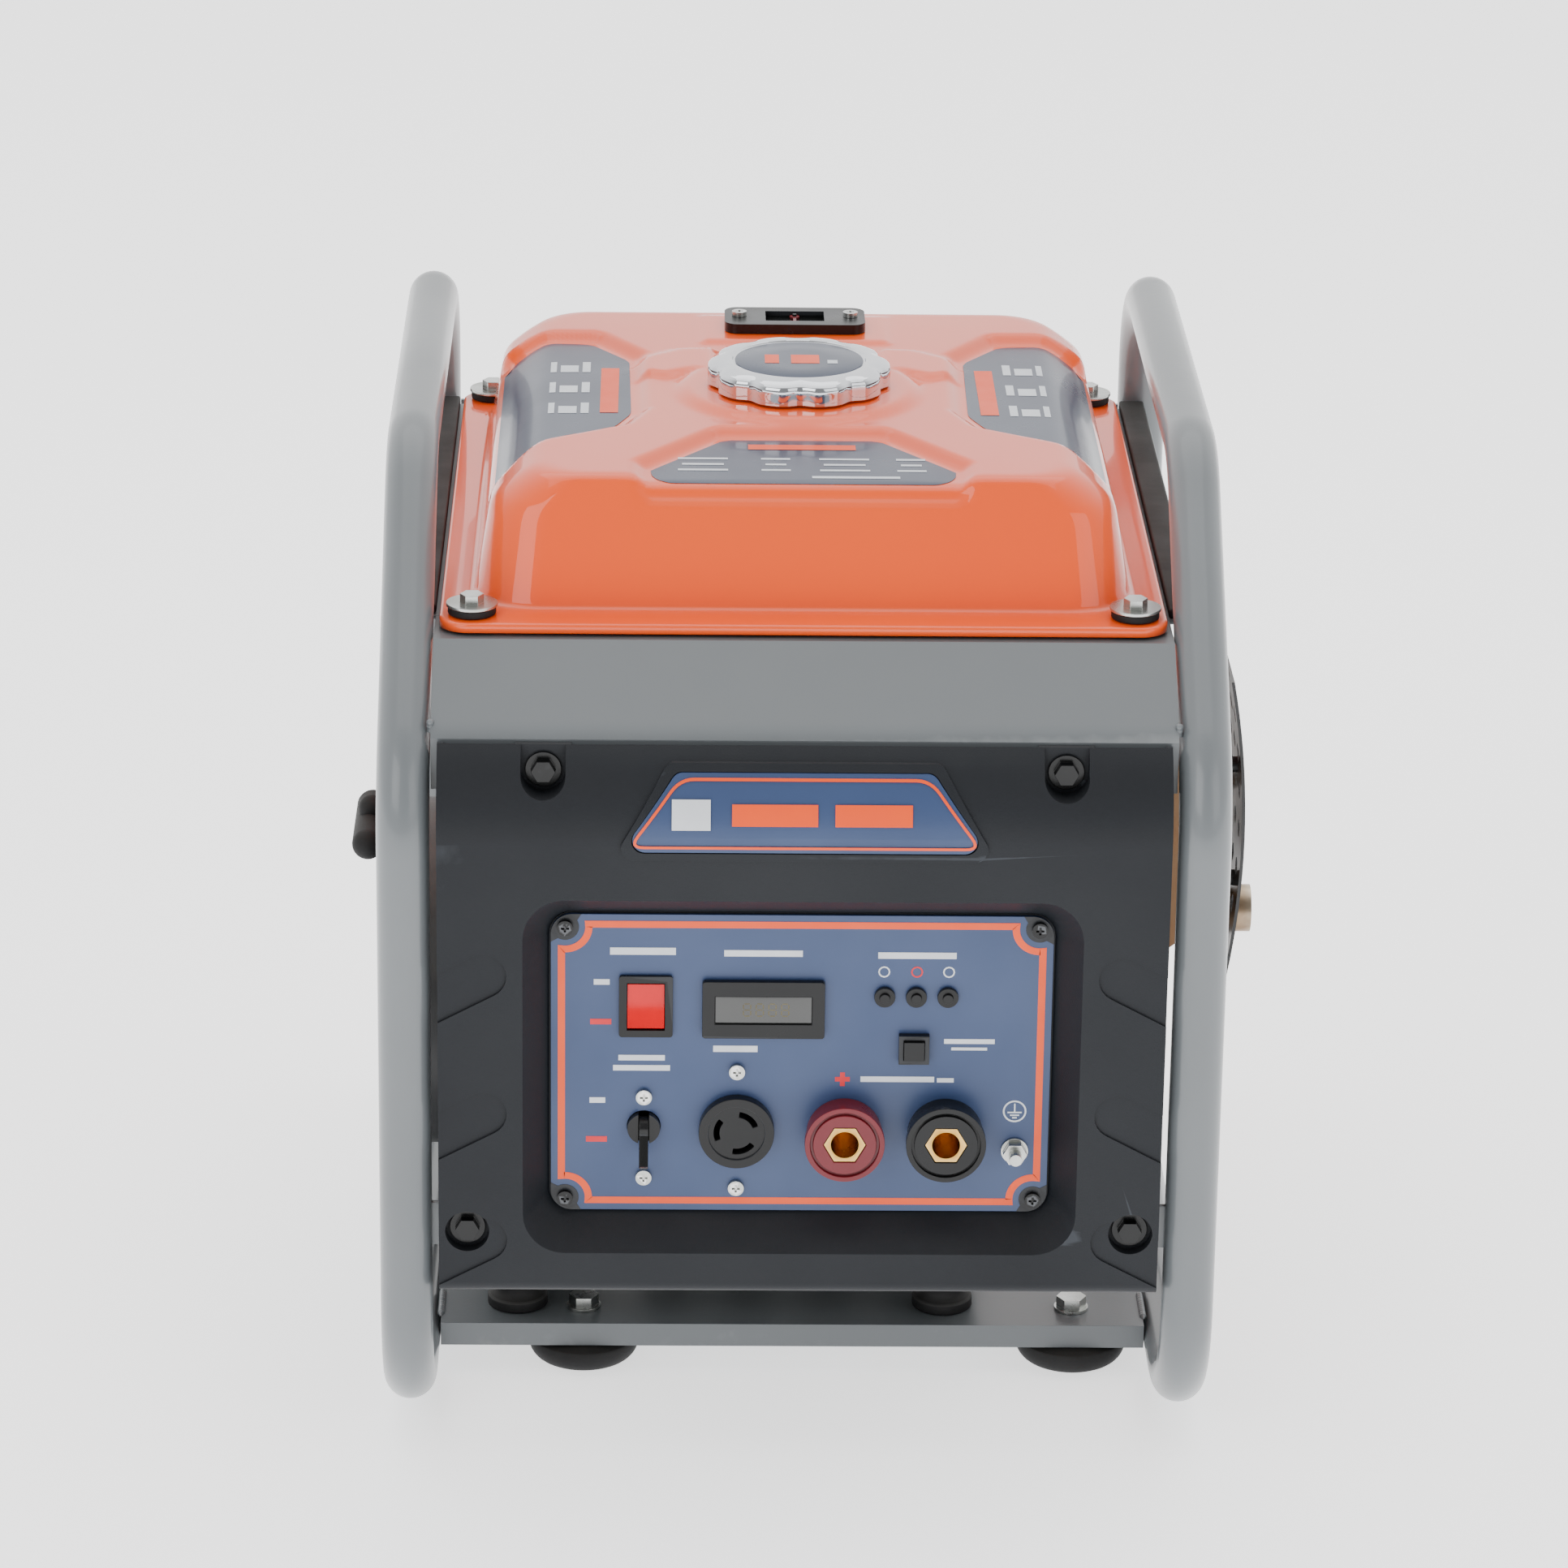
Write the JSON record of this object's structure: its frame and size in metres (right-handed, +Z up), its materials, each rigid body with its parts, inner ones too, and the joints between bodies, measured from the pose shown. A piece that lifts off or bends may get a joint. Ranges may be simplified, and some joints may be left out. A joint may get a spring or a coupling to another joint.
{
  "type": "engine driven welder",
  "caption": "Petrol engine and inverter welding power source in a two-loop tube carry frame, with fuel tank above and control panel in front.",
  "frame": {"origin": "on the floor, midway between the front and rear legs and between the two side loops", "axes": "+Z up, +Y from the control panel to the rear, +X to the side with the muffler"},
  "size_m": [0.4536, 0.48, 0.4778],
  "materials": {
    "frame_paint": "gloss powder coat",
    "rubber": "matt",
    "zinc": "zinc plated",
    "tank_paint": "gloss",
    "chrome": "polished",
    "black_plastic": "satin moulded",
    "red_plastic": "gloss moulded",
    "fascia_plastic": "fine spark texture",
    "black_bolt": "blackened",
    "panel_film": "satin printed film",
    "brass": "machined",
    "cast_alloy": "as cast",
    "black_steel": "satin heat-resistant paint",
    "steel": "bare",
    "copper_winding": "enamelled wire",
    "nylon": "moulded nylon and braided cord"
  },
  "bodies": {
    "welder": {"left_side_loop": "frame_paint", "right_side_loop": "frame_paint", "front_upper_panel": "frame_paint", "rear_upper_panel": "frame_paint", "tank_rails": "frame_paint", "base_tray": "frame_paint", "rubber_feet": "rubber", "engine_mounts": "rubber", "base_bolts": "zinc", "tank_upper_shell": "tank_paint", "tank_lower_shell": "tank_paint", "filler_neck": "tank_paint", "fuel_gauge_body": "black_plastic", "tank_bolts": "zinc", "tank_grommets": "rubber", "fuel_tap_body": "cast_alloy", "fuel_hose": "rubber", "front_fascia": "fascia_plastic", "fascia_bolts": "black_bolt", "badge_plate": "panel_film", "control_plate": "panel_film", "panel_screws": "zinc", "engine_switch_housing": "black_plastic", "display_meter": "black_plastic", "indicator_lamps": "black_plastic", "reset_button_housing": "black_plastic", "breaker_body": "black_plastic", "ac_outlet": "black_plastic", "weld_socket_positive": "red_plastic", "weld_socket_negative": "black_plastic", "weld_socket_inserts": "brass", "earth_terminal": "zinc", "inverter_module": "cast_alloy", "engine_cradle": "frame_paint", "crankcase": "cast_alloy", "cylinder_block": "cast_alloy", "cylinder_head": "cast_alloy", "rocker_cover": "black_steel", "spark_plug": "rubber", "alternator_stator": "copper_winding", "blower_housing": "black_plastic", "recoil_housing": "black_plastic", "carburettor": "cast_alloy", "air_cleaner": "black_plastic", "muffler": "steel", "muffler_shield": "black_steel"},
    "fuel_cap_core": {"fuel_cap_core": "black_plastic"},
    "fuel_cap": {"fuel_cap": "chrome"},
    "gauge_needle": {"fuel_gauge_needle": "red_plastic"},
    "fuel_tap": {"fuel_tap_lever": "red_plastic"},
    "engine_switch": {"engine_switch_rocker": "red_plastic"},
    "reset_button": {"reset_button": "black_plastic"},
    "breaker_toggle": {"breaker_toggle": "black_plastic"},
    "dipstick": {"oil_dipstick": "black_plastic"},
    "rotating_group": {"crankshaft": "steel", "flywheel_fan": "steel"},
    "recoil_pulley": {"recoil_pulley": "nylon"},
    "pull_handle": {"pull_handle": "black_plastic", "starter_rope": "nylon"},
    "choke": {"choke_lever": "zinc"}
  },
  "joints": [
    {"name": "fuel_cap_lift", "type": "slide", "parent": "welder", "child": "fuel_cap_core", "axis": [0, 0, 1], "range_m": [0, 0.08]},
    {"name": "fuel_cap_turn", "type": "hinge", "parent": "fuel_cap_core", "child": "fuel_cap", "pos_m": [0, 0.019, 0.4688], "axis": [0, 0, 1], "range_deg": [0, 90]},
    {"name": "gauge_needle_swing", "type": "hinge", "parent": "welder", "child": "gauge_needle", "pos_m": [0, 0.1365, 0.4659], "axis": [0, 0, 1], "range_deg": [-35, 35]},
    {"name": "fuel_tap_turn", "type": "hinge", "parent": "welder", "child": "fuel_tap", "pos_m": [-0.1042, 0.062, 0.3478], "axis": [-1, 0, 0], "range_deg": [0, 90]},
    {"name": "engine_switch_rock", "type": "hinge", "parent": "welder", "child": "engine_switch", "pos_m": [-0.0736, -0.2205, 0.229], "axis": [1, 0, 0], "range_deg": [-20, 0]},
    {"name": "reset_button_press", "type": "slide", "parent": "welder", "child": "reset_button", "axis": [0, 1, 0], "range_m": [0, 0.0025], "stiffness_N_per_m": 400},
    {"name": "breaker_toggle_flip", "type": "hinge", "parent": "welder", "child": "breaker_toggle", "pos_m": [-0.0743, -0.223, 0.167], "axis": [1, 0, 0], "range_deg": [-76, 0]},
    {"name": "dipstick_draw", "type": "slide", "parent": "welder", "child": "dipstick", "axis": [1, 0, 0], "range_m": [0, 0.09]},
    {"name": "crankshaft_spin", "type": "hinge", "parent": "welder", "child": "rotating_group", "pos_m": [0, -0.005, 0.16], "axis": [1, 0, 0], "continuous": true},
    {"name": "starter_pull", "type": "slide", "parent": "welder", "child": "pull_handle", "axis": [-1, 0, 0], "range_m": [0, 0.4]},
    {"name": "recoil_pulley_spin", "type": "hinge", "parent": "welder", "child": "recoil_pulley", "pos_m": [-0.1903, -0.005, 0.16], "axis": [1, 0, 0], "range_deg": [0, 435]},
    {"name": "choke_swing", "type": "hinge", "parent": "welder", "child": "choke", "pos_m": [-0.076, 0.12551, 0.25612], "axis": [0, 1, 0], "range_deg": [0, 70]}
  ],
  "couplings": [
    {"joint": "recoil_pulley_spin", "follows": "starter_pull", "rad_per_m": 18.868}
  ]
}
